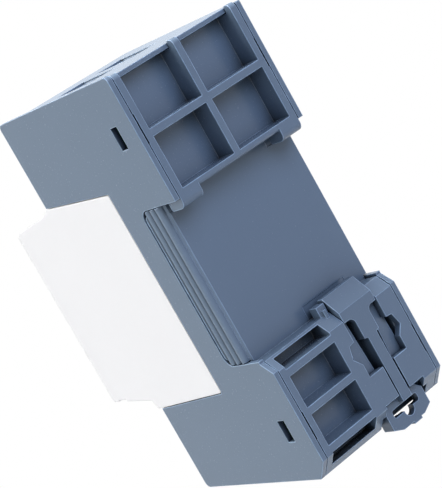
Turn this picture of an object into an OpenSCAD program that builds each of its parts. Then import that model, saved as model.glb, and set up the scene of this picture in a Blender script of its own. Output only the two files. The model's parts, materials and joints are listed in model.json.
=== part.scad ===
// Two-module rail timer. X runs across the width, Y from the front (-) to the rear (+), Z up.
// The origin is the middle of the flat seat that rests on the 35 mm rail.

/* [Body] */
// Width across both side walls
body_w = 36; // [34:0.5:44]
// Height between the two end faces
body_h = 90; // [86:1:98]
// Depth from the rail seat forwards to the shoulders
shoulder_d = 40.4; // [38:0.2:46]
// How far the front cover stands out from the shoulders
nose_d = 18.2; // [17:0.2:22]
// How far the upper and lower blocks stand out behind the rail seat
block_d = 6.6; // [6.2:0.1:8]
// Thickness of the side walls
side_wall = 1.15; // [1:0.05:1.4]
// Thickness of the end walls and of the shoulders
end_wall = 1.6; // [1.3:0.1:2]
// Rounding of the housing's front corners, seen from the side
corner_r = 1.2; // [0.4:0.1:2]
// Chamfer along the lower rear edge
rear_chamfer = 3.9; // [2:0.1:4.4]

/* [Rail recess] */
// Height of the recess that takes the rail
recess_h = 35.8; // [35.4:0.1:37]
// Depth of the side wall's cut-out in front of the rail seat
cut_d = 7.2; // [5.5:0.1:8]
// Corner radius of the side wall's cut-out
cut_r = 2.2; // [1:0.1:3]
// Number of ridges along each side of the seat
ridge_n = 4; // [2:1:4]
// Radius of one ridge
ridge_r = 1; // [0.8:0.05:1]
// Distance that the fixed hooks reach down behind the rail
hook_drop = 2.2; // [1.2:0.1:2.4]
// Width of each fixed hook
hook_w = 5.3; // [3:0.1:7]
// Free gap between the seat and what grips the rail
rail_gap = 1.5; // [1.2:0.1:2]

/* [Rear pockets] */
// Thickness of the pocketed blocks' outer rims
rim = 1.6; // [1.2:0.1:2.2]
// Thickness of the ribs between pockets
rib = 1.6; // [1:0.1:2]
// How far the upper end wall stops short of the rims
rim_step = 2; // [1:0.1:2.5]
// Height of each lower pocket
low_pocket_h = 7.15; // [5:0.05:7.4]

/* [Rail clip] */
// Place of the clip across the width
clip_x = -7.05; // [-8:0.05:-6.5]
// Width of the clip's head
head_w = 9.5; // [8:0.1:10]
// Width of the clip's stem
stem_w = 2.6; // [2:0.1:3.2]
// Width of the clip's foot
foot_w = 11.2; // [9:0.1:12]
// How far the nose reaches up behind the rail past the block
nose_rise = 2.9; // [2.5:0.1:3.2]
// How far the clip slides down
clip_travel = 4; // [3:0.5:4]
// Running gap around the clip
clip_gap = 0.2; // [0.15:0.05:0.3]
// Thickness of the plates that hold the clip in
guide_t = 1.7; // [1.4:0.1:2]

/* [Front] */
// Half height of the front cover where it meets the shoulders
collar_h = 24.7; // [24:0.1:25]
// Half height of the front cover at its face
face_h = 21.6; // [21:0.1:22]
// Wall of the front cover
cover_wall = 1.6; // [1.3:0.1:2]
// Depth of the recess that holds the flap and the keys
bay_d = 2.4; // [2.3:0.1:2.6]
// Half width of that recess
bay_w = 15.5; // [15.2:0.1:15.6]
// Thickness of the hinged flap
flap_t = 1.4; // [1.1:0.1:1.4]
// Radius of the flap's hinge pins
pin_r = 0.8; // [0.6:0.05:0.8]
// Radial running fit of pins and screws
fit = 0.05; // [0.03:0.01:0.08]
// Width of the display window
window_w = 27; // [22:1:28]
// Height of the display window
window_h = 14.5; // [12:0.5:15]
// Travel of a key
key_travel = 0.45; // [0.3:0.05:0.5]
// Width of a key
key_w = 6.4; // [5:0.1:7]
// Height of a key
key_h = 4; // [3:0.1:5]
// Distance between the keys of a row
key_pitch_x = 9.4; // [8.6:0.1:10]
// Distance between the rows of keys
key_pitch_z = 7.6; // [6.6:0.1:8]

/* [Terminals] */
// Distance between neighbouring terminals
terminal_pitch = 11; // [10.2:0.1:11.2]
// Distance of the terminal screws from the end faces
screw_inset = 7.2; // [7:0.1:8]
// Radius of the screw's thread
screw_r = 1.5; // [1.25:0.05:1.6]
// Radius of the screw's head
screw_head_r = 2.15; // [2:0.05:2.25]
// Radius of the round wire entries
wire_r = 2.15; // [1.8:0.05:2.2]
// Free height for the wire in an open clamp
wire_space = 4.5; // [4.4:0.1:4.8]
// How far a clamp closes
clamp_travel = 4; // [3:0.1:4]

/* [Hidden] */
$fn = 48;

shell_color = "slategray";
cover_color = "white";
eps = 0.01;          // overshoot of a cut past a face
seam = 0.2;          // gap between moulded pieces that fit together
half_w = body_w / 2;
in_w = half_w - side_wall;
top_z = body_h / 2;
in_z = top_z - end_wall;
front_y = -shoulder_d;
nose_y = front_y - nose_d;
rear_y = block_d;

// Rail recess and rear blocks
up_z = recess_h / 2;
low_z = -recess_h / 2 - 0.6;
base_w = in_w - seam;
plate_t = 2;
ridge_x = half_w - 0.05 - ridge_r;
ridge_pitch = 1.98;
ridge_top = ridge_r + 0.56;
slope_x = ridge_x - 0.25;
slope_d = 0.5;
seat_edge = half_w - 1.7;
seat_far = half_w - 0.4;
relief_d = 0.12;     // hollow in the seat below whatever reaches over it
block_slope_y = 3.9;
block_r = 0.8;
rear_r = 1.2;
rim_drop = 0.3;
end_drop = 0.65;
cell_w = base_w - rim;
cell_floor = 1;
shelf_z = (up_z + rib + in_z) / 2;
left_pocket_lo = 2;
low_pocket_1 = low_z - 3.2;
low_pocket_2 = low_pocket_1 - rib;
low_pocket_3 = low_pocket_2 - low_pocket_h - rib;
low_pocket_4 = low_pocket_3 - low_pocket_h - rib;

// Rail clip
guide_y = rear_y - guide_t;
nose_z = low_z + nose_rise;
head_z = low_z - 3;
mouth_w = head_w / 2 + clip_gap;
guide_w = foot_w / 2 + 1.3;
clip_floor = 0.3;
lug_lo = clip_x + mouth_w + 0.1;
lug_hi = lug_lo + 2.2;
neck_len = 5.4;
gate_z = head_z - neck_len - clip_travel - 2.7;
sill_z = -top_z + 4.5;
clip_y = guide_y - clip_gap;
foot_y = rail_gap - 0.1;
foot_z = -top_z - 2.5;

// Front cover
cheek_y = front_y + 25.7;
cheek_h = collar_h - 1.45;
cheek_r = 0.6;
fascia_y = nose_y + bay_d;
fascia_in = fascia_y + cover_wall;
bay_top = face_h - 1.1;
bay_low = -face_h + 2;
hinge_y = nose_y + 1;
hinge_z = bay_top - 1.7;
board_t = 1.6;
front_board_y = fascia_in + 4.6;
window_z = 10.6;
key_z = -4.2;
flange_t = 0.6;
key_stem_r = 1.5;
key_stem = 2.5;
lcd_t = 2;

// Terminals, measured forwards from the shoulders
well_y = front_y + end_wall + seam;
head_y = well_y + 0.8;
head_t = 1.8;
clamp_plate = 1.5;
clamp_wall = 1;
bar_t = 0.8;
clamp_len = 6;
shelf_y = head_y + head_t + 0.1;
chamber_y = shelf_y + 1.1;
clamp_y = chamber_y + 0.3 + clamp_travel;
bar_y = clamp_y + clamp_plate + 1.1;
clamp_end = bar_y + bar_t + wire_space + clamp_wall;
clamp_half = screw_r + fit + clamp_wall;
bar_half = clamp_half - 0.2;
wire_y = bar_y + bar_t + wire_space / 2;
block_end = clamp_end + 3.9;
main_board_y = block_end + 0.1;
funnel_floor = top_z - 1.1;
funnel_front = -3.6;
funnel_rear = 11;
funnel_w = 7.2;
screw_z = top_z - screw_inset;
block_lo = screw_z - 4.8;
upper_x = [-terminal_pitch / 2, terminal_pitch / 2];
lower_x = [-terminal_pitch, 0, terminal_pitch];

// Parts on the two boards
board_w = in_w - 1.25;
header_x = in_w - 0.85;
header_w = 2.3;
header_h = 21;
header_d = 2.5;
pin_pitch = 2.54;
pin_t = 0.64;
chip_w = 10;
chip_t = 1.4;
lead_pitch = 0.86;
crystal_x = board_w - 5;
crystal_h = 7;
cell_r = 10;
cell_t = 3.2;
cell_z = -7.6;
relay_lo = -in_w + 4.45;
relay_w = 12.8;
relay_h = 29;
relay_d = 15.5;
relay_pins = 3.5;
film_w = 7;
film_h = 18;
film_d = 13;
film_x = relay_lo + relay_w + 2;
sleeve_r = 5;
sleeve_len = 16;
disc_r = 5.4;
disc_t = 3.6;
disc_x = in_w - 1.65 - disc_t;
fuse_r = 2.1;
fuse_len = 10;
fuse_x = in_w - 4.25;
rectifier_w = 8.4;
rectifier_h = 6.4;
rectifier_d = 3.4;
rectifier_x = film_x - 4.4;
rectifier_z = relay_h / 2 + 2.5;
switch_w = 6;
switch_t = 2.5;
bar_foot = 1.6;

// ---- helpers -------------------------------------------------------------------------------

// A box between two corners
module block(lo, hi) {
    translate(lo)
        cube(hi - lo);
}

// A side view, drawn as (y, z), from x0 to x1
module across(x0, x1) {
    translate([x0, 0, 0])
        rotate([90, 0, 90])
            linear_extrude(x1 - x0)
                children();
}

// A front view, drawn as (x, z), from y0 to y1
module deep(y0, y1) {
    translate([0, y1, 0])
        rotate([90, 0, 0])
            linear_extrude(y1 - y0)
                children();
}

// A round bar along Y
module rod(r, y0, y1) {
    deep(y0, y1)
        circle(r);
}

// Points of an arc about c
function arc(c, r, a0, a1, n = 8) =
    [for (i = [0:n]) let (a = a0 + (a1 - a0) * i / n) [c.x + r * cos(a), c.y + r * sin(a)]];

// A rectangle with round corners, about its middle
module rounded(w, h, r) {
    square([w - 2 * r, h], center = true);
    square([w, h - 2 * r], center = true);
    for (x = [-1, 1], y = [-1, 1])
        translate([x * (w / 2 - r), y * (h / 2 - r)])
            circle(r);
}

module both_sides() {
    children();
    mirror([1, 0, 0])
        children();
}

// ---- outlines ------------------------------------------------------------------------------

// The housing seen from the side
module housing_outline() {
    polygon(concat(
        arc([front_y + corner_r, top_z - corner_r], corner_r, 180, 90),
        arc([rear_y - rear_r, top_z - rear_r], rear_r, 90, 0),
        [[rear_y, -top_z + rear_chamfer], [rear_y - rear_chamfer, -top_z]],
        arc([front_y + corner_r, -top_z + corner_r], corner_r, 270, 180)));
}

// The side wall's cut-out at the rail, shrunk by g
module cut_outline(g = 0) {
    lo = low_z + 0.6;
    polygon(concat(
        [[rear_y + 1, up_z - g]],
        arc([-cut_d + cut_r + g, up_z - cut_r - g], cut_r, 90, 180),
        arc([-cut_d + cut_r + g, lo + cut_r + g], cut_r, 180, 270),
        [[block_slope_y - g, lo + g], [block_slope_y - g, low_z + g], [rear_y + 1, low_z - 3.2 + g]]));
}

// The cheek that runs back from the cover into the side wall, grown by g
module cheek_outline(g = 0) {
    polygon(concat(
        [[front_y - 1, collar_h + g], [front_y, collar_h + g], [cheek_y + g, cheek_h + g]],
        arc([cheek_y - cheek_r, cheek_r - cheek_h], cheek_r + g, 0, -90),
        [[front_y, -collar_h - g], [front_y - 1, -collar_h - g]]));
}

// The front cover seen from the side, in front of the shoulders
module nose_outline() {
    r = 1.5;
    slope = (collar_h - 1.3 - face_h) / (nose_d - 3.7);
    polygon(concat(
        [[front_y + eps, collar_h], [front_y - 3.7, collar_h - 1.3]],
        arc([nose_y + r, face_h - r + slope * r], r, 84, 180),
        arc([nose_y + r / 2, -face_h + r / 2], r / 2, 180, 266),
        [[front_y - 2.2, -face_h - 1], [front_y - 1.4, -collar_h + 0.2], [front_y + eps, -collar_h]]));
}

// ---- housing and base ----------------------------------------------------------------------

module housing_shell() color(shell_color) {
    difference() {
        across(-half_w, half_w)
            housing_outline();
        // Inside, open at the rear
        block([-in_w, front_y + end_wall, -in_z], [in_w, rear_y + 1, in_z]);
        // One side wall stands a little proud of the upper end face
        block([-half_w - 1, front_y - 1, top_z - end_drop], [in_w, rear_y + 1, top_z + 1]);
        // Upper end wall stops short of the rims, lower one short of the clip
        block([-in_w, rear_y - rim_step, in_z - 1], [in_w, rear_y + 1, top_z + 1]);
        block([-in_w, foot_y - 0.5, -top_z - 1], [in_w, rear_y + 1, -in_z + 1]);
        // Front opening and the cheeks' seats in the side walls
        block([-in_w, front_y - 1, -collar_h - seam], [in_w, front_y + end_wall + 1, collar_h + seam]);
        across(-half_w - 1, half_w + 1)
            cheek_outline(seam);
        // Rail cut-outs
        across(-half_w - 1, half_w + 1)
            cut_outline();
        // Latch windows
        for (z = [shelf_z + 1.6, -top_z + 11.4])
            block([-half_w - 1, -1.2, z - 2.45], [half_w + 1, 1.2, z + 2.45]);
        terminal_cuts();
    }
}

// Driver holes in the shoulders, and wire entries with shallow funnels in the end walls
module terminal_cuts() {
    for (x = upper_x)
        terminal_cut(x);
    mirror([0, 0, 1])
        for (x = lower_x)
            terminal_cut(x);
}

module terminal_cut(x) {
    translate([x, 0, screw_z])
        rod(screw_head_r + 0.3, front_y - 1, front_y + end_wall + 1);
    translate([x, wire_y, in_z - 1])
        cylinder(r = wire_r, h = end_wall + 2);
    block([x - funnel_w / 2, wire_y + funnel_front, funnel_floor],
          [x + funnel_w / 2, wire_y + funnel_rear, top_z + 1]);
}

module rear_base() color(shell_color) {
    difference() {
        union() {
            block([-base_w, -plate_t, -in_z + seam], [base_w, 0, in_z - seam]);
            ridge_band(seat_edge, [slope_x, -slope_d]);
            mirror([1, 0, 0])
                ridge_band(seat_far, [seat_far + 0.2, -0.3]);
            upper_block();
            lower_block();
            both_sides()
                fixed_hook();
            board_posts();
        }
        // Slope along the seat's edge
        translate([0, 0, low_z])
            linear_extrude(up_z - low_z)
                polygon([
                    [seat_edge, 0], [seat_edge, 1], [half_w, 1], [half_w, -slope_d], [slope_x, -slope_d]]);
        latch_reliefs();
        seat_reliefs();
        guide_windows();
    }
}

// Ridges that fill the side wall's cut-out beside the seat, whose flat runs out to edge and then
// falls to the point corner
module ridge_band(edge, corner) {
    intersection() {
        linear_extrude(body_h, center = true) {
            polygon([
                [base_w - 2, -cut_d], [base_w - 2, 0], [edge, 0], corner, [corner.x, -ridge_top],
                [ridge_x, -ridge_top], [ridge_x, -cut_d]]);
            for (i = [0:ridge_n - 1])
                translate([ridge_x, -ridge_top - i * ridge_pitch])
                    circle(ridge_r);
        }
        across(0, half_w)
            cut_outline(seam);
    }
}

// Shallow hollows in the seat below the hooks, the clip's nose and the lug
module seat_reliefs() {
    both_sides()
        block([base_w - hook_w - 0.1, -relief_d, up_z - hook_drop - 0.1], [base_w, eps, up_z]);
    block([clip_x - mouth_w, -relief_d, low_z], [lug_hi + 0.1, eps, nose_z + 0.3]);
}

// Windows through the base below the plates that hold the clip in
module guide_windows() {
    for (s = [-1, 1])
        translate([clip_x + s * (stem_w / 2 + guide_w) / 2, 0, 0])
            block([(stem_w / 2 - guide_w) / 2 + 1.1, -plate_t - 1, gate_z + 0.4],
                  [(guide_w - stem_w / 2) / 2 - 1.1, clip_floor + eps, head_z - 1.6]);
}

// Block above the rail, with two rows of open pockets
module upper_block() {
    step_y = rear_y - rim_step + seam;
    rim_z = top_z - rim_drop;
    difference() {
        across(-base_w, base_w)
            polygon(concat(
                [[-plate_t, up_z]],
                arc([rear_y - block_r, up_z + block_r], block_r, 270, 360),
                arc([rear_y - rear_r, rim_z - rear_r], rear_r, 0, 90),
                [[step_y, rim_z], [step_y, in_z - seam], [-plate_t, in_z - seam]]));
        for (x = [-cell_w, rib / 2]) {
            block([x, cell_floor, up_z + rib - 0.2], [x + cell_w - rib / 2, rear_y + 1, shelf_z - rib / 2]);
            block([x, cell_floor, shelf_z + rib / 2], [x + cell_w - rib / 2, rear_y + 1, top_z + 1]);
        }
    }
}

// Block below the rail: pockets on one side, the clip's guide on the other
module lower_block() {
    difference() {
        across(-base_w, base_w)
            polygon([
                [-plate_t, low_z], [block_slope_y, low_z], [rear_y, low_z - 2.6],
                [rear_y, -top_z + rear_chamfer], [rear_y - rear_chamfer, -top_z], [foot_y - 0.3, -top_z],
                [foot_y - 0.3, -in_z + seam], [-plate_t, -in_z + seam]]);
        for (z = [[low_pocket_1, low_z - 0.5], [low_pocket_2 - low_pocket_h, low_pocket_2],
                  [low_pocket_3 - low_pocket_h, low_pocket_3], [-top_z + rim, low_pocket_4]])
            block([left_pocket_lo, cell_floor, z[0]], [cell_w, rear_y + 1, z[1]]);
        // Space that the clip slides in, and its mouth
        block([clip_x - guide_w, clip_floor, -top_z - 1], [clip_x + guide_w, guide_y, head_z]);
        block([clip_x - mouth_w, clip_floor, gate_z], [clip_x + mouth_w, rear_y + 1, low_z + 1]);
        translate([clip_x, 0, 0])
            deep(guide_y - eps, rear_y + 1)
                guide_opening();
    }
    // Lug beside the clip's head
    block([lug_lo, rail_gap, low_z - 1], [lug_hi, block_slope_y, low_z + 2.3]);
    block([lug_lo + 0.7, block_slope_y - eps, low_z - 0.8],
          [lug_lo + 1.5, block_slope_y + 0.7, low_z + 1.2]);
}

// Opening in the plates over the clip, with a notch on each side
module guide_opening() {
    for (s = [-1, 1])
        scale_x(s)
            polygon([
                [-eps, low_z + 1], [mouth_w, low_z + 1], [mouth_w, gate_z + 7.8],
                [mouth_w + 1.5, gate_z + 7.6],
                [guide_w + 0.3, gate_z + 4.9], [mouth_w + 0.7, gate_z + 2.9], [mouth_w + 0.7, gate_z],
                [stem_w / 2 + clip_gap * 2, gate_z], [stem_w / 2 + clip_gap * 2, sill_z],
                [foot_w / 2 + clip_gap, sill_z], [foot_w / 2 + clip_gap, -top_z - 1], [-eps, -top_z - 1]]);
}

module scale_x(s) {
    if (s < 0)
        mirror([1, 0])
            children();
    else
        children();
}

// Hook that holds the rail's upper edge
module fixed_hook() {
    tip_r = 1.5;
    across(base_w - hook_w, base_w)
        polygon(concat(
            [[rail_gap + 0.2, up_z + 1], [rail_gap + 0.2, up_z - hook_drop + 0.4],
             [rail_gap + 0.6, up_z - hook_drop]],
            arc([rear_y - tip_r, up_z - hook_drop + tip_r], tip_r, 270, 360),
            [[rear_y, up_z + 1]]));
}

// Posts that carry the main board
module board_posts() {
    for (x = [-1, 1], z = [-1, 1])
        translate([x * (in_w - 3.6), 0, z * 28])
            rod(2, main_board_y + board_t, -plate_t + eps);
}

// Dark reliefs behind the latch windows, and the slits that let the latches give
module latch_reliefs() {
    for (x = [-1, 1], z = [shelf_z + 1.6, -top_z + 11.4])
        translate([x * base_w, 0, z]) {
            block([-3.6, -plate_t - 1, -2.7], [3.6, 0, 2.7]);
            block([-1.2, -eps, -2.7], [1.2, 1.5, 2.7]);
            block([-0.15, 2.4, -3.2], [0.15, rear_y + 1, 3.2]);
        }
}

// ---- rail clip -----------------------------------------------------------------------------

module rail_clip() color("dimgray") translate([clip_x, 0, 0]) {
    // Head with its sloping nose
    across(-head_w / 2, head_w / 2)
        polygon([
            [rail_gap, head_z], [rail_gap, nose_z - 0.4], [rail_gap + 0.4, nose_z],
            [rail_gap + 2, nose_z], [rear_y - 0.1, nose_z - 3.7], [rear_y - 0.1, head_z]]);
    deep(foot_y + 0.8, rear_y - 0.1)
        clip_neck();
    deep(foot_y + 0.8, clip_y)
        clip_arms();
    difference() {
        deep(foot_y, clip_y)
            clip_foot();
        deep(foot_y - 1, clip_y + 1)
            driver_slot();
        // Wider on the hidden side
        translate([-0.9, 0, -0.6])
            deep(foot_y - 1, clip_y - 1.2)
                driver_slot();
    }
}

// Neck and stem
module clip_neck() {
    neck = stem_w / 2 + 0.85;
    shoulder = (head_w / 2 - neck) / 2;
    for (s = [-1, 1])
        scale_x(s)
            polygon(concat(
                [[-eps, head_z + eps], [head_w / 2, head_z + eps], [head_w / 2, head_z - 0.1]],
                arc([neck + shoulder, head_z - 0.1 - shoulder], shoulder, 90, 180),
                [[neck, head_z - neck_len + 0.2], [stem_w / 2, head_z - neck_len], [stem_w / 2, foot_z + 5.4],
                 [-eps, foot_z + 5.4]]));
}

// Broad sprung arms beside the stem, spreading towards their ends
module clip_arms() {
    inner = stem_w / 2 + 2;
    outer = foot_w / 2;
    for (s = [-1, 1])
        scale_x(s)
            polygon([
                [inner, head_z + 0.5], [head_w / 2, head_z + 0.5], [head_w / 2, head_z - 0.3],
                [outer, head_z - 1.1],
                [outer + 0.3, gate_z], [outer + 0.1, gate_z - 2.5], [inner - 0.9, gate_z - 2.5],
                [inner - 0.7, gate_z]]);
}

module clip_foot() {
    for (s = [-1, 1])
        scale_x(s)
            polygon([
                [-eps, foot_z + 6.3], [foot_w / 2 - 1.4, foot_z + 6.3], [foot_w / 2, foot_z + 4.9],
                [foot_w / 2, foot_z + 1.1], [foot_w / 2 - 2.4, foot_z], [-eps, foot_z]]);
    translate([-2.1, foot_z - 0.5])
        square([2.3, 1]);
}

// Slot for a screwdriver's blade
module driver_slot() {
    translate([0.2, foot_z + 3.9]) {
        rounded(7.5, 1.7, 0.5);
        translate([-0.45, -1.1])
            circle(1.35);
    }
}

// ---- front ---------------------------------------------------------------------------------

module front_cover() color(cover_color) {
    difference() {
        union() {
            across(-half_w, half_w)
                nose_outline();
            both_sides()
                across(in_w + eps, half_w)
                    cheek_outline();
        }
        // Inside, open at the rear
        block([-in_w + 0.6, fascia_in, -face_h + cover_wall],
              [in_w - 0.6, front_y + 1, face_h - cover_wall]);
        block([-in_w + 0.6, front_y - 5, -collar_h + cover_wall + 0.8],
              [in_w - 0.6, front_y + 1, collar_h - cover_wall - 1.2]);
        // Bay for the flap and the keys
        block([-bay_w, nose_y - 1, bay_low], [bay_w, fascia_y, bay_top]);
        both_sides()
            across(bay_w - 1, bay_w + 1 + fit)
                translate([hinge_y, hinge_z])
                    circle(pin_r + fit);
        // Step along the lower edge
        block([-half_w - 1, nose_y + 2.4, -face_h - 1], [half_w + 1, nose_y + 5.7, -face_h + 0.15]);
        // Finger scoop below the flap
        translate([0, nose_y, bay_low])
            rod(4.5, -1, bay_d - 0.9);
        // Display window, key holes and light pipe
        translate([0, 0, window_z]) {
            deep(nose_y, fascia_y + 1.05)
                square([window_w + 0.2, window_h + 0.2], center = true);
            deep(nose_y, fascia_in + 1)
                square([window_w - 3, window_h - 3], center = true);
        }
        for (p = key_places())
            translate([p.x, 0, p.y])
                deep(nose_y, fascia_in + 1)
                    rounded(key_w + 0.3, key_h + 0.3, 1);
        translate([led_x(), 0, led_z()])
            rod(1.1 + fit, nose_y, fascia_in + 1);
    }
    // Posts for the front board, and tongues that snap behind the shoulders
    for (x = [-1, 1], z = [-1, 1])
        translate([x * (in_w - 1.7), 0, z * (face_h - 2.9)])
            rod(0.9, fascia_in - eps, front_board_y);
    for (s = [0, 1])
        mirror([0, 0, s])
            across(-6, 6)
                polygon([
                    [front_y - 4, collar_h - 3.2], [front_y + 4.2, collar_h - 3.2],
                    [front_y + 4.2, collar_h - 1.6],
                    [front_y + 3.2, collar_h + 0.5], [front_y + end_wall + seam, collar_h + 0.5],
                    [front_y + end_wall + seam, collar_h - 1.6], [front_y - 4, collar_h - 1.6]]);
}

function led_x() = -window_w / 2 + 1.2;
function led_z() = window_z - window_h / 2 - 2.8;
function key_places() = [for (row = [0, 1], i = [-1, 0, 1]) [i * key_pitch_x, key_z - row * key_pitch_z]];

module flap() color("lightblue", 0.35) {
    difference() {
        block([-bay_w + 0.3, nose_y + 0.1, bay_low + 0.3],
              [bay_w - 0.3, nose_y + 0.1 + flap_t, hinge_z + 1]);
        // Thumb edge
        translate([0, 0, bay_low + 0.3])
            block([-4, nose_y, -1], [4, nose_y + 0.5, 0.8]);
    }
    across(-bay_w - 0.8, bay_w + 0.8)
        translate([hinge_y, hinge_z])
            circle(pin_r);
}

module window_lens() color("lightcyan", 0.4) {
    translate([0, 0, window_z])
        deep(fascia_y, fascia_y + 1)
            square([window_w, window_h], center = true);
}

module lcd_panel() color("darkseagreen") {
    translate([0, 0, window_z])
        deep(fascia_in + 0.4, fascia_in + 0.4 + lcd_t)
            square([window_w - 0.6, window_h - 0.6], center = true);
}

module lcd_frame() color("dimgray") {
    translate([0, 0, window_z])
        difference() {
            deep(fascia_in + 0.2, front_board_y)
                square([window_w + 1, window_h + 2], center = true);
            deep(fascia_in - 1, fascia_in + 0.4 + lcd_t)
                square([window_w - 0.4, window_h - 0.4], center = true);
            deep(fascia_in, front_board_y + 1)
                square([window_w - 2, window_h - 0.4], center = true);
        }
}

module contact_strips() color("gray") {
    for (s = [-1, 1])
        translate([0, 0, window_z + s * (window_h / 2 - 1.4)])
            block([1.6 - window_w / 2, fascia_in + 0.4 + lcd_t, -0.8],
                  [window_w / 2 - 1.6, front_board_y, 0.8]);
}

module front_board() color("seagreen") {
    block([-board_w, front_board_y, -face_h + 2.2], [board_w, front_board_y + board_t, face_h - 2.2]);
}

// A key's cap, its flange behind the fascia and its stem
module key(i) color("gainsboro") {
    p = key_places()[i];
    translate([p.x, 0, p.y]) {
        deep(fascia_y - 0.5, fascia_in + 0.15 + eps)
            rounded(key_w, key_h, 0.9);
        deep(fascia_in + 0.15, fascia_in + 0.15 + flange_t)
            rounded(key_w + 1.4, key_h + 1.4, 0.9);
        rod(key_stem_r, fascia_in + 0.15 + flange_t - eps, fascia_in + key_stem);
    }
}

module key_1() { key(0); }
module key_2() { key(1); }
module key_3() { key(2); }
module key_4() { key(3); }
module key_5() { key(4); }
module key_6() { key(5); }

module key_switches() color("silver") {
    for (p = key_places())
        translate([p.x, 0, p.y])
            difference() {
                deep(front_board_y - switch_t, front_board_y)
                    square(switch_w, center = true);
                rod(key_stem_r + 0.2, fascia_in, fascia_in + key_stem + key_travel + 0.1);
            }
}

module light_pipe() color("mistyrose", 0.6) {
    translate([led_x(), 0, led_z()]) {
        rod(1.1, fascia_y - 0.1, fascia_in + eps);
        rod(1.5, fascia_in, fascia_in + 1.6);
    }
}

module status_led() color("tomato") {
    translate([led_x(), 0, led_z()]) {
        rod(1.2, fascia_in + 1.7, fascia_in + 3);
        rod(1.5, fascia_in + 3 - eps, front_board_y);
    }
}

module controller_chip() color("black") {
    y = front_board_y + board_t;
    x = chip_w / 2 + 0.8;
    translate([0, y, window_z - 0.6]) {
        block([-chip_w / 2, 0, -chip_w / 2], [chip_w / 2, chip_t, chip_w / 2]);
        for (i = [-5:5], s = [-1, 1])
            block([s * x - 0.6, 0, i * lead_pitch - 0.15], [s * x + 0.6, 0.2, i * lead_pitch + 0.15]);
    }
}

module crystal() color("silver") {
    y = front_board_y + board_t;
    translate([crystal_x, y + 1.6, window_z - crystal_h / 2 - 1.1])
        cylinder(r = 1.5, h = crystal_h);
}

module backup_cell() color("lightgray") {
    y = front_board_y + board_t;
    translate([0, 0, cell_z])
        rod(cell_r, y + 0.5, y + 0.5 + cell_t);
}

module cell_holder() color("goldenrod") {
    y = front_board_y + board_t;
    top = y + 0.6 + cell_t;
    out = cell_r + 1;
    translate([0, 0, cell_z])
        difference() {
            union() {
                rod(out, y, top - 0.2);
                block([-2.5, top, -out], [2.5, top + 0.4, out]);
                for (s = [-1, 1])
                    block([-2.5, y, s * (out - 0.2) - 0.2], [2.5, top + 0.4, s * (out - 0.2) + 0.2]);
            }
            rod(cell_r + 0.1, y + 0.4, top - 0.1);
        }
}

// ---- power side ----------------------------------------------------------------------------

module main_board() color("seagreen") {
    block([-in_w + 0.4, main_board_y, -in_z + 0.8], [in_w - 0.4, main_board_y + board_t, in_z - 0.8]);
}

module board_header() color("gold") {
    x = -header_x + 0.8;
    for (i = [-4:3])
        translate([x, 0, (i + 0.5) * pin_pitch - pin_t / 2])
            block([0, front_board_y + board_t, 0], [pin_t, main_board_y, pin_t]);
    for (y = [front_board_y + board_t, main_board_y - header_d])
        block([-header_x, y, -header_h / 2], [-header_x + header_w, y + header_d, header_h / 2]);
}

module relay() color("royalblue") {
    translate([relay_lo + relay_w / 2, main_board_y, 0]) {
        block([-relay_w / 2, -0.4 - relay_d, -relay_h / 2], [relay_w / 2, -0.4, relay_h / 2]);
        for (x = [-relay_pins, relay_pins], z = [2.5 - relay_h / 2, relay_h / 2 - 11.5, relay_h / 2 - 2.5])
            block([x - 0.4, -0.5, z - 0.5], [x + 0.4, 0, z + 0.5]);
    }
}

module film_capacitor() color("gold") {
    block([film_x, main_board_y - film_d, -4 - film_h], [film_x + film_w, main_board_y, -4]);
}

module smoothing_capacitor() color("midnightblue") {
    translate([film_x + 1 + sleeve_r, 0, sleeve_r + 1])
        rod(sleeve_r, main_board_y - sleeve_len, main_board_y);
}

module varistor() color("steelblue") {
    mid = disc_x + disc_t / 2;
    translate([0, main_board_y, -12]) {
        across(disc_x, disc_x + disc_t)
            translate([-disc_r - 1, 0])
                circle(disc_r);
        for (z = [-2.5, 2.5])
            block([mid - 0.4, -2.5, z - 0.4], [mid + 0.4, 0, z + 0.4]);
    }
}

module fuse_resistor() color("green") {
    y = main_board_y - fuse_r - 0.1;
    translate([fuse_x, 0, 14]) {
        translate([0, y, 0])
            cylinder(r = fuse_r, h = fuse_len);
        for (z = [-0.6, fuse_len - eps])
            block([-0.4, y - 0.4, z], [0.4, main_board_y, z + 0.6 + eps]);
    }
}

module bridge_rectifier() color("black") {
    block([rectifier_x, main_board_y - rectifier_d, rectifier_z],
          [rectifier_x + rectifier_w, main_board_y, rectifier_z + rectifier_h]);
}

// ---- terminals -----------------------------------------------------------------------------

// Moulded block with one chamber for each clamp, for terminals at the places xs
module terminal_block(xs) {
    difference() {
        block([-in_w + 0.25, well_y, block_lo], [in_w - 0.25, block_end, in_z - 0.1]);
        for (x = xs)
            translate([x, 0, screw_z]) {
                rod(screw_head_r + 0.3, well_y - 1, shelf_y);
                rod(screw_r + 0.3, shelf_y - eps, chamber_y + 1);
                block([-clamp_half - 0.3, chamber_y, -clamp_len / 2 - 0.4],
                      [clamp_half + 0.3, clamp_end + 0.6, clamp_len / 2 + 0.6]);
                translate([0, wire_y, 0])
                    cylinder(r = wire_r, h = screw_inset);
                block([-bar_half - 0.1, bar_y - 0.05, -screw_inset],
                      [bar_half + 0.1, bar_y + bar_t + 0.05, 0]);
            }
    }
}

module upper_terminal_block() color("slategray") {
    terminal_block(upper_x);
}

module lower_terminal_block() color("slategray") {
    mirror([0, 0, 1])
        terminal_block(lower_x);
}

// Contact bar that the wire is pressed against, with its leg to the main board
module contact_bar(x) {
    block([x - bar_half, bar_y, block_lo - bar_foot],
          [x + bar_half, bar_y + bar_t, screw_z + clamp_len / 2]);
    block([x - bar_half, bar_y, block_lo - bar_foot],
          [x + bar_half, main_board_y, block_lo - bar_foot + bar_t]);
}

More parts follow.
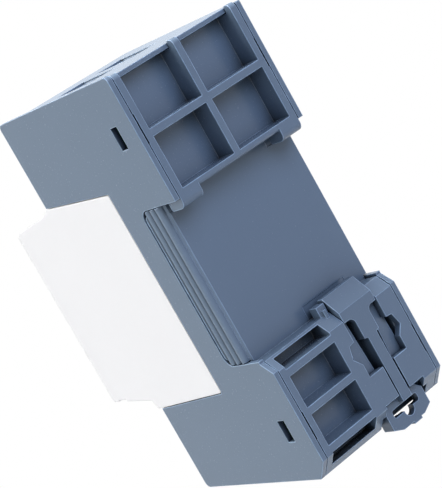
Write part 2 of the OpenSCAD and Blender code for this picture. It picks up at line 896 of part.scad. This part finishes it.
module upper_contact_bars() color("gold") {
    for (x = upper_x)
        contact_bar(x);
}

module lower_contact_bars() color("gold") {
    mirror([0, 0, 1])
        for (x = lower_x)
            contact_bar(x);
}

// Captive screw with a cross recess in its head
module terminal_screw(x, z) color("silver") {
    translate([x, 0, z])
        difference() {
            union() {
                rod(screw_head_r, head_y, head_y + head_t);
                rod(screw_r, head_y + head_t - eps, bar_y - 0.05);
            }
            for (a = [0, 90])
                rotate([0, a, 0])
                    block([-1.7, head_y - 1, -0.35], [1.7, head_y + 1, 0.35]);
        }
}

// Clamp that rides up the screw and presses the wire against the bar
module screw_clamp(x, z) color("silver") {
    translate([x, 0, z])
        difference() {
            block([-clamp_half, clamp_y, -clamp_len / 2], [clamp_half, clamp_end, clamp_len / 2]);
            block([-bar_half - 0.1, clamp_y + clamp_plate, -clamp_len],
                  [bar_half + 0.1, clamp_end - clamp_wall, clamp_len]);
            rod(screw_r + fit, clamp_y - 1, clamp_y + clamp_plate + 1);
        }
}

module screw_1() { terminal_screw(upper_x[0], screw_z); }
module screw_2() { terminal_screw(upper_x[1], screw_z); }
module screw_3() { terminal_screw(lower_x[0], -screw_z); }
module screw_4() { terminal_screw(lower_x[1], -screw_z); }
module screw_5() { terminal_screw(lower_x[2], -screw_z); }
module clamp_1() { screw_clamp(upper_x[0], screw_z); }
module clamp_2() { screw_clamp(upper_x[1], screw_z); }
module clamp_3() { screw_clamp(lower_x[0], -screw_z); }
module clamp_4() { screw_clamp(lower_x[1], -screw_z); }
module clamp_5() { screw_clamp(lower_x[2], -screw_z); }

housing_shell();
rear_base();
front_cover();
flap();
window_lens();
lcd_frame();
lcd_panel();
contact_strips();
front_board();
key_switches();
key_1();
key_2();
key_3();
key_4();
key_5();
key_6();
light_pipe();
status_led();
controller_chip();
crystal();
backup_cell();
cell_holder();
main_board();
board_header();
relay();
film_capacitor();
smoothing_capacitor();
varistor();
fuse_resistor();
bridge_rectifier();
upper_terminal_block();
lower_terminal_block();
upper_contact_bars();
lower_contact_bars();
screw_1();
screw_2();
screw_3();
screw_4();
screw_5();
clamp_1();
clamp_2();
clamp_3();
clamp_4();
clamp_5();
rail_clip();
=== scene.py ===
"""Looks for the rail timer: finishes, display and key marks, camera and light."""
import json
import math

import bpy
from mathutils import Matrix, Vector

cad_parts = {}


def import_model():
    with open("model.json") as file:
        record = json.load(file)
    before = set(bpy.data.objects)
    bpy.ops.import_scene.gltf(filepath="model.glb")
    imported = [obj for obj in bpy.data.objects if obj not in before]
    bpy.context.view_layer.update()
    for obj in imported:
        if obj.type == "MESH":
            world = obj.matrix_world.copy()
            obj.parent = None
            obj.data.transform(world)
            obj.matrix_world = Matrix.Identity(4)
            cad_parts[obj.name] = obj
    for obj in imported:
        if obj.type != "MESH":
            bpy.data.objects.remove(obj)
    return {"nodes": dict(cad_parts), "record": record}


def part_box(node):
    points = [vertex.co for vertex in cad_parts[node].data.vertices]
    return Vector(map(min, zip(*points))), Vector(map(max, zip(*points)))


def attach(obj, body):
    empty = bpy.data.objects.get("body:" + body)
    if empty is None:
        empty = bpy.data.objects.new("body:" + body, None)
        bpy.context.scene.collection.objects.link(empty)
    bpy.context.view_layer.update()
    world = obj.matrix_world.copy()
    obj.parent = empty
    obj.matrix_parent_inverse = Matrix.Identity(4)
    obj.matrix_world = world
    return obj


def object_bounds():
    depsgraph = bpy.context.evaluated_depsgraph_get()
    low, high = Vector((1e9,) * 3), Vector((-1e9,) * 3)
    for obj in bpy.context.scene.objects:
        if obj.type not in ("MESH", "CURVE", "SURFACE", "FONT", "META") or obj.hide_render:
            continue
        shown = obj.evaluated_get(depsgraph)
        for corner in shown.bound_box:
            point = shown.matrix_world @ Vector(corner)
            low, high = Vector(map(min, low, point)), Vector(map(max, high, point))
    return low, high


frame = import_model()
cad_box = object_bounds()

MM = 0.001


# ---- small node helpers --------------------------------------------------------------------

class Tree:
    """A material's node tree, with short calls for the nodes that the finishes share."""

    def __init__(self, name):
        self.material = bpy.data.materials.new(name)
        self.material.use_nodes = True
        self.nodes = self.material.node_tree.nodes
        self.links = self.material.node_tree.links
        self.bsdf = self.nodes["Principled BSDF"]
        self.coords = self.nodes.new("ShaderNodeTexCoord").outputs["Object"]

    def link(self, value, socket):
        """Links an output to a socket, or sets the socket to a plain value."""
        if isinstance(value, bpy.types.NodeSocket):
            self.links.new(value, socket)
        else:
            socket.default_value = value

    def noise(self, scale, detail=3.0, stretch=(1, 1, 1)):
        """Noise with features of about 1/scale metres."""
        mapping = self.nodes.new("ShaderNodeMapping")
        mapping.inputs["Scale"].default_value = stretch
        self.links.new(self.coords, mapping.inputs["Vector"])
        node = self.nodes.new("ShaderNodeTexNoise")
        node.inputs["Scale"].default_value = scale
        node.inputs["Detail"].default_value = detail
        self.links.new(mapping.outputs["Vector"], node.inputs["Vector"])
        return node.outputs["Fac"]

    def ramp(self, value, low, high, to_low=0.0, to_high=1.0):
        """Maps low..high to to_low..to_high, clamped."""
        node = self.nodes.new("ShaderNodeMapRange")
        self.link(value, node.inputs["Value"])
        for socket, number in zip(("From Min", "From Max", "To Min", "To Max"), (low, high, to_low, to_high)):
            node.inputs[socket].default_value = number
        return node.outputs["Result"]

    def combine(self, kind, first, second):
        """Joins two numbers by a sum of the named kind."""
        node = self.nodes.new("ShaderNodeMath")
        node.operation = kind
        self.link(first, node.inputs[0])
        self.link(second, node.inputs[1])
        return node.outputs[0]

    def mix(self, factor, first, second, blend="MIX"):
        """Mixes two colours."""
        node = self.nodes.new("ShaderNodeMix")
        node.data_type = "RGBA"
        node.blend_type = blend
        self.link(factor, node.inputs["Factor"])
        self.link(first, node.inputs["A"])
        self.link(second, node.inputs["B"])
        return node.outputs["Result"]

    def soft_edge(self, radius):
        """A normal rounded along the edges, and a mask that is 1 on them."""
        bevel = self.nodes.new("ShaderNodeBevel")
        bevel.samples = 8
        bevel.inputs["Radius"].default_value = radius
        flat = self.nodes.new("ShaderNodeNewGeometry").outputs["Normal"]
        dot = self.nodes.new("ShaderNodeVectorMath")
        dot.operation = "DOT_PRODUCT"
        self.links.new(bevel.outputs["Normal"], dot.inputs[0])
        self.links.new(flat, dot.inputs[1])
        return bevel.outputs["Normal"], self.ramp(dot.outputs["Value"], 0.995, 0.85)

    def occlusion(self, reach):
        """1 in the open, lower in corners and gaps."""
        node = self.nodes.new("ShaderNodeAmbientOcclusion")
        node.samples = 8
        node.inputs["Distance"].default_value = reach
        return node.outputs["AO"]

    def bump(self, height, strength, distance, normal=None):
        """Small relief, laid over a given normal or over the plain one."""
        node = self.nodes.new("ShaderNodeBump")
        node.inputs["Strength"].default_value = strength
        node.inputs["Distance"].default_value = distance
        self.links.new(height, node.inputs["Height"])
        if normal is not None:
            self.links.new(normal, node.inputs["Normal"])
        return node.outputs["Normal"]


def linear(red, green, blue):
    """A colour written as it looks, 0 to 255, as the linear colour that a shader takes."""
    def one(value):
        value /= 255
        return value / 12.92 if value <= 0.04045 else ((value + 0.055) / 1.055) ** 2.4
    return (one(red), one(green), one(blue), 1.0)


def scaled(colour, factor):
    """The same colour, lighter or darker by a factor."""
    return tuple(min(1.0, c * factor) for c in colour[:3]) + (1.0,)


# ---- finishes ------------------------------------------------------------------------------

EDGE_R = 0.35 * MM         # how far a moulded edge looks rounded, and how wide its painted highlight is
CORNER_REACH = 0.7 * MM    # how far the painted shade of an inner corner spreads
GAP_REACH = 5 * MM         # walls nearer than this paint shade into a recess or gap

def moulded(name, colour, roughness=0.27, grain=0.06, edge=3.2, crevice=0.95, shade=0.3, marks=0.01):
    """Moulded plastic: fine spark grain and slow flow marks, with painted highlights on the edges
    and painted shade in corners, recesses and gaps.

    edge is how much paler the painted edge highlight is, crevice how dark the painted shade in
    corners and gaps gets, shade how dark the painted shade in a recess gets, and marks how far the
    flow marks stray from the colour.
    """
    tree = Tree(name)
    flow = tree.noise(60, 2.0, (1, 1, 0.35))
    speckle = tree.noise(2600, 2.0)
    base = tree.mix(tree.ramp(flow, 0.1, 0.9), scaled(colour, 1 - marks), scaled(colour, 1 + marks))
    base = tree.mix(tree.ramp(speckle, 0.35, 0.65, 0.0, 0.03), base, scaled(colour, 0.8))
    normal, edges = tree.soft_edge(EDGE_R)
    # painted highlight: the colour is lightened along the edges, broken up by noise
    edge_highlight = tree.combine("MULTIPLY", edges, tree.ramp(tree.noise(420, 3.0), 0.3, 0.7, 0.45, 1.0))
    base = tree.mix(edge_highlight, base, scaled(colour, edge))
    # painted shade: the colour is darkened in inner corners, from an occlusion mask
    corners = tree.ramp(tree.occlusion(CORNER_REACH), 0.25, 0.8, crevice, 0.0)
    base = tree.mix(corners, base, scaled(colour, 0.15))
    # painted shade: the colour is darkened in recesses and nearly blackened in narrow gaps, from an occlusion
    # mask
    openness = tree.occlusion(GAP_REACH)
    recess = tree.ramp(openness, 0.4, 0.95, shade, 0.0)
    base = tree.mix(recess, base, scaled(colour, 0.25))
    gap = tree.ramp(openness, 0.12, 0.5, crevice, 0.0)
    base = tree.mix(gap, base, scaled(colour, 0.05))
    tree.link(base, tree.bsdf.inputs["Base Color"])
    matt = tree.ramp(speckle, 0.0, 1.0, roughness - 0.01, roughness + 0.01)
    tree.link(matt, tree.bsdf.inputs["Roughness"])
    bump = tree.bump(tree.noise(5200, 2.0), grain, 0.01 * MM, normal)
    tree.link(bump, tree.bsdf.inputs["Normal"])
    return tree.material


def clear(name, tint, roughness=0.04):
    """Clear moulded plastic with faint wipe marks, which lets light through to what it covers."""
    tree = Tree(name)
    tree.bsdf.inputs["Base Color"].default_value = tint
    tree.bsdf.inputs["Transmission Weight"].default_value = 1.0
    tree.bsdf.inputs["IOR"].default_value = 1.5
    marks = tree.noise(240, 5.0, (1, 1, 0.2))
    tree.link(tree.ramp(marks, 0.45, 0.75, roughness, roughness + 0.05), tree.bsdf.inputs["Roughness"])
    tree.link(tree.bump(tree.noise(300, 2.0), 0.05, 0.02 * MM), tree.bsdf.inputs["Normal"])
    shadow = tree.nodes.new("ShaderNodeBsdfTransparent")
    shadow.inputs["Color"].default_value = tint
    mix = tree.nodes.new("ShaderNodeMixShader")
    path = tree.nodes.new("ShaderNodeLightPath")
    tree.links.new(path.outputs["Is Shadow Ray"], mix.inputs["Fac"])
    tree.links.new(tree.bsdf.outputs[0], mix.inputs[1])
    tree.links.new(shadow.outputs[0], mix.inputs[2])
    tree.links.new(mix.outputs[0], tree.nodes["Material Output"].inputs["Surface"])
    return tree.material


def metal(name, colour, roughness=0.3, brush=(1, 1, 1)):
    """Plated metal with fine drawn marks, darker in its corners."""
    tree = Tree(name)
    tree.bsdf.inputs["Metallic"].default_value = 1.0
    marks = tree.noise(900, 4.0, brush)
    base = tree.mix(tree.ramp(marks, 0.3, 0.7), scaled(colour, 0.82), colour)
    # the colour is darker in the corners, from an occlusion mask
    corner_darkening = tree.ramp(tree.occlusion(1.5 * MM), 0.1, 0.9, 0.6, 0.0)
    tree.link(tree.mix(corner_darkening, base, scaled(colour, 0.3)), tree.bsdf.inputs["Base Color"])
    tree.link(tree.ramp(marks, 0.3, 0.7, roughness + 0.12, roughness - 0.05), tree.bsdf.inputs["Roughness"])
    normal, _ = tree.soft_edge(0.15 * MM)
    tree.link(tree.bump(marks, 0.2, 0.02 * MM, normal), tree.bsdf.inputs["Normal"])
    return tree.material


def laminate(name):
    """Circuit board: green resist over a faint glass weave."""
    tree = Tree(name)
    across = tree.noise(1800, 1.0, (1, 1, 0.1))
    along = tree.noise(1800, 1.0, (0.1, 1, 1))
    weave = tree.combine("MAXIMUM", across, along)
    green = linear(24, 92, 58)
    tree.link(tree.mix(tree.ramp(weave, 0.4, 0.7), scaled(green, 0.8), scaled(green, 1.2)),
              tree.bsdf.inputs["Base Color"])
    tree.bsdf.inputs["Roughness"].default_value = 0.3
    tree.link(tree.bump(weave, 0.15, 0.02 * MM), tree.bsdf.inputs["Normal"])
    return tree.material


def display(name):
    """Reflective display glass: grey-green, with a faint cell grid under a glossy front."""
    tree = Tree(name)
    ground = linear(150, 160, 142)
    grid = tree.noise(3500, 0.0)
    tree.link(tree.mix(tree.ramp(grid, 0.4, 0.6), scaled(ground, 0.95), scaled(ground, 1.05)),
              tree.bsdf.inputs["Base Color"])
    tree.link(tree.ramp(tree.noise(90, 2.0), 0.3, 0.7, 0.16, 0.24), tree.bsdf.inputs["Roughness"])
    tree.bsdf.inputs["Coat Weight"].default_value = 0.6
    tree.bsdf.inputs["Coat Roughness"].default_value = 0.05
    return tree.material


def strip_rubber(name):
    """Silicone strip with thin dark conducting layers across it."""
    tree = Tree(name)
    wave = tree.nodes.new("ShaderNodeTexWave")
    wave.inputs["Scale"].default_value = 900
    tree.links.new(tree.coords, wave.inputs["Vector"])
    tree.link(tree.mix(wave.outputs["Fac"], linear(40, 40, 42), linear(190, 150, 150)),
              tree.bsdf.inputs["Base Color"])
    tree.bsdf.inputs["Roughness"].default_value = 0.7
    return tree.material


PLASTIC = linear(103, 122, 142)
FINISHES = {
    "housing_plastic": lambda n: moulded(n, PLASTIC),
    "base_plastic": lambda n: moulded(n, PLASTIC),
    "clip_plastic": lambda n: moulded(n, scaled(PLASTIC, 0.95)),
    "cover_plastic": lambda n: moulded(n, linear(246, 246, 246), roughness=0.34, grain=0.04, edge=1.0,
                                       crevice=0.08, shade=0.08, marks=0.004),
    "key_plastic": lambda n: moulded(n, linear(205, 208, 213), roughness=0.4, grain=0.1, edge=1.1,
                                     crevice=0.1, shade=0.1),
    "frame_plastic": lambda n: moulded(n, linear(38, 40, 43), roughness=0.5),
    "chip_plastic": lambda n: moulded(n, linear(30, 30, 32), roughness=0.5),
    "relay_plastic": lambda n: moulded(n, linear(40, 74, 140), roughness=0.3, grain=0.2),
    "film_box": lambda n: moulded(n, linear(205, 176, 60), roughness=0.35, grain=0.2),
    "capacitor_sleeve": lambda n: moulded(n, linear(30, 34, 74), roughness=0.3, grain=0.1),
    "varistor_coat": lambda n: moulded(n, linear(52, 112, 128), roughness=0.35, grain=0.6),
    "led_plastic": lambda n: clear(n, linear(214, 70, 58), 0.1),
    "clear_plastic": lambda n: clear(n, (0.97, 0.985, 0.99, 1.0)),
    "lens_plastic": lambda n: clear(n, (0.96, 0.98, 0.98, 1.0)),
    "display_glass": display,
    "strip_rubber": strip_rubber,
    "board_laminate": laminate,
    "switch_metal": lambda n: metal(n, linear(196, 197, 200)),
    "spring_brass": lambda n: metal(n, linear(206, 180, 120), 0.28),
    "plated_steel": lambda n: metal(n, linear(190, 191, 192), 0.32, (1, 0.2, 1)),
}


def finish_nodes():
    """Gives each CAD node the finish of its own material slot in the record."""
    made = {name: build(name + "_look") for name, build in FINISHES.items()}
    for row in frame["record"]["subparts"]:
        node = frame["nodes"][row["node"]]
        for place in node.material_slots:
            place.material = made[row["material_slot"]]


# ---- display segments and key marks --------------------------------------------------------

def flat_piece(name, outlines, y, thickness, material):
    """One mesh of thin plates: each outline is a list of (x, z) corners, its front at y."""
    vertices, faces = [], []
    for outline in outlines:
        start, count = len(vertices), len(outline)
        vertices += [(x, y, z) for x, z in outline] + [(x, y + thickness, z) for x, z in outline]
        faces.append(list(range(start, start + count)))
        faces.append(list(range(start + 2 * count - 1, start + count - 1, -1)))
        for i in range(count):
            j = (i + 1) % count
            faces.append([start + i, start + count + i, start + count + j, start + j])
    mesh = bpy.data.meshes.new(name)
    mesh.from_pydata(vertices, [], faces)
    mesh.validate()
    piece = bpy.data.objects.new(name, mesh)
    bpy.context.scene.collection.objects.link(piece)
    mesh.materials.append(material)
    return piece


SEGMENTS = {"a": (0, 1, "h"), "b": (1, 0.5, "v"), "c": (1, -0.5, "v"), "d": (0, -1, "h"),
            "e": (-1, -0.5, "v"), "f": (-1, 0.5, "v"), "g": (0, 0, "h")}
DIGITS = {"0": "abcdef", "1": "bc", "2": "abged"}


def segment(x, z, length, width, upright):
    """A six-cornered bar of a seven-segment digit."""
    half, tip = length / 2 - width / 2, width / 2
    ring = [(-half - tip, 0), (-half, tip), (half, tip), (half + tip, 0), (half, -tip), (-half, -tip)]
    if upright:
        ring = [(-b, a) for a, b in ring]
    return [(x + a, z + b) for a, b in ring]


def display_segments(material):
    """The digits of an idle display, just in front of the panel's glass."""
    low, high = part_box("lcd_panel")
    width, height = high.x - low.x, high.z - low.z
    cell_w, cell_h = width * 0.15, height * 0.5
    centre_z = (low.z + high.z) / 2
    bars = []
    for place, digit in zip((-0.3, -0.11, 0.11, 0.3), "1200"):
        middle = place * width
        for name in DIGITS[digit]:
            across, up, kind = SEGMENTS[name]
            length = cell_w if kind == "h" else cell_h / 2
            x = middle + across * cell_w / 2
            z = centre_z + up * cell_h / 2
            bars.append(segment(x, z, length * 0.9, cell_w * 0.17, kind == "v"))
    dot = cell_w * 0.1
    for z in (centre_z - cell_h / 5, centre_z + cell_h / 5):
        bars.append([(-dot, z - dot), (-dot, z + dot), (dot, z + dot), (dot, z - dot)])
    piece = flat_piece("display_segments", bars, low.y - 0.04 * MM, 0.03 * MM, material)
    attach(piece, "housing")


def circle(x, z, radius, count=24):
    """Corners round a circle."""
    return [(x + radius * math.cos(2 * math.pi * i / count), z + radius * math.sin(2 * math.pi * i / count))
            for i in range(count)]


def key_mark(number):
    """Corner lists of the plain mark on one key, about its middle, in millimetres."""
    arrow = [(-0.9, -0.6), (0.9, -0.6), (0, 0.8)]
    if number in (1, 3):
        turn = 1 if number == 1 else -1
        return [[(-turn * b, turn * a) for a, b in arrow]]
    if number == 2:
        return [arrow]
    if number == 5:
        return [[(a, -b) for a, b in arrow]]
    if number == 4:
        return [circle(0, 0, 0.75)]
    return [[(-0.7, -0.7), (0.7, -0.7), (0.7, 0.7), (-0.7, 0.7)]]


def key_marks(material):
    """A plain mark on each key, which rides with it."""
    for number in range(1, 7):
        node = "key_%d" % number
        low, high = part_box(node)
        x, z = (low.x + high.x) / 2, (low.z + high.z) / 2
        rings = [[(x + a * MM, z + b * MM) for a, b in ring] for ring in key_mark(number)]
        piece = flat_piece(node + "_mark", rings, low.y - 0.03 * MM, 0.04 * MM, material)
        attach(piece, node)


# ---- studio --------------------------------------------------------------------------------

def soft_light(name, place, size, power, colour, target, spread=180):
    """A round area light that faces the target; a small spread, in degrees, keeps it to the part."""
    lamp = bpy.data.lights.new(name, "AREA")
    lamp.shape = "DISK"
    lamp.size = size
    lamp.spread = math.radians(spread)
    lamp.energy = power
    lamp.color = colour
    holder = bpy.data.objects.new(name, lamp)
    bpy.context.scene.collection.objects.link(holder)
    holder.location = place
    holder.rotation_mode = "QUATERNION"
    holder.rotation_quaternion = (target - Vector(place)).to_track_quat("-Z", "Y")


def seen_white(tree, lit):
    """White where the camera, a reflection or glass sees it, and the plain shader lit elsewhere."""
    nodes, links = tree.nodes, tree.links
    path = nodes.new("ShaderNodeLightPath")
    seen = None
    for ray in ("Is Camera Ray", "Is Glossy Ray", "Is Transmission Ray"):
        if seen is None:
            seen = path.outputs[ray]
            continue
        add = nodes.new("ShaderNodeMath")
        add.operation = "MAXIMUM"
        links.new(seen, add.inputs[0])
        links.new(path.outputs[ray], add.inputs[1])
        seen = add.outputs[0]
    white = nodes.new("ShaderNodeBackground" if lit.node.type == "BACKGROUND" else "ShaderNodeEmission")
    white.inputs["Color"].default_value = (1, 1, 1, 1)
    white.inputs["Strength"].default_value = 1.0
    mix = nodes.new("ShaderNodeMixShader")
    links.new(seen, mix.inputs["Fac"])
    links.new(lit, mix.inputs[1])
    links.new(white.outputs[0], mix.inputs[2])
    return mix.outputs[0]


def floor(z):
    """A pale floor at the given height, which shows as plain white."""
    bpy.ops.mesh.primitive_circle_add(vertices=64, radius=4, fill_type="NGON", location=(0, 0, z))
    plate = bpy.context.object
    plate.name = "floor"
    material = bpy.data.materials.new("floor_white")
    material.use_nodes = True
    tree = material.node_tree
    surface = tree.nodes["Principled BSDF"]
    surface.inputs["Base Color"].default_value = (0.6, 0.6, 0.61, 1)
    surface.inputs["Roughness"].default_value = 0.8
    shown = seen_white(tree, surface.outputs[0])
    tree.links.new(shown, tree.nodes["Material Output"].inputs["Surface"])
    plate.data.materials.append(material)


def world(colour, strength):
    """Soft light from all round, which shows as plain white."""
    space = bpy.data.worlds.new("studio")
    space.use_nodes = True
    bpy.context.scene.world = space
    tree = space.node_tree
    sky = tree.nodes["Background"]
    sky.inputs["Color"].default_value = colour
    sky.inputs["Strength"].default_value = strength
    tree.links.new(seen_white(tree, sky.outputs[0]), tree.nodes["World Output"].inputs["Surface"])


def camera(target, azimuth, elevation, roll, distance, lens):
    """A camera round the target. Azimuth 0 looks along +Y; roll tips the picture to one side."""
    a, e = math.radians(azimuth), math.radians(elevation)
    back = Vector((math.sin(a) * math.cos(e), -math.cos(a) * math.cos(e), math.sin(e)))
    data = bpy.data.cameras.new("camera")
    data.lens = lens
    data.clip_start, data.clip_end = 0.01, 20
    eye = bpy.data.objects.new("camera", data)
    bpy.context.scene.collection.objects.link(eye)
    turn = (-back).to_track_quat("-Z", "Y").to_matrix() @ Matrix.Rotation(math.radians(roll), 3, "Z")
    eye.matrix_world = Matrix.Translation(target + back * distance) @ turn.to_4x4()
    bpy.context.scene.camera = eye


finish_nodes()
ink = moulded("ink_look", linear(60, 66, 72), roughness=0.5, grain=0.1)
display_segments(ink)
key_marks(ink)

low, high = cad_box
middle = Vector((0, (low.y + high.y) / 2, (low.z + high.z) / 2))
floor(low.z - 0.3)
world((0.9, 0.95, 1.0, 1.0), 0.16)
soft_light("side_light", (0.95, -0.2, 0.4), 0.7, 6.7, (1.0, 0.985, 0.97), middle)
soft_light("top_light", (0.0, -0.1, 1.0), 0.5, 2.0, (1.0, 1.0, 1.0), middle, 60)
soft_light("rear_light", (0.0, 0.85, 0.6), 0.8, 7.2, (0.71, 0.77, 1.0), middle)
soft_light("front_light", (0.1, -0.95, 0.55), 0.6, 3.0, (1.0, 1.0, 1.0), middle)
camera(Vector((0, -15.5, 1.9)) * MM, 148.05, 9.09, -29.5, 387.3 * MM, 138.17)

bpy.context.scene.view_settings.view_transform = "Standard"
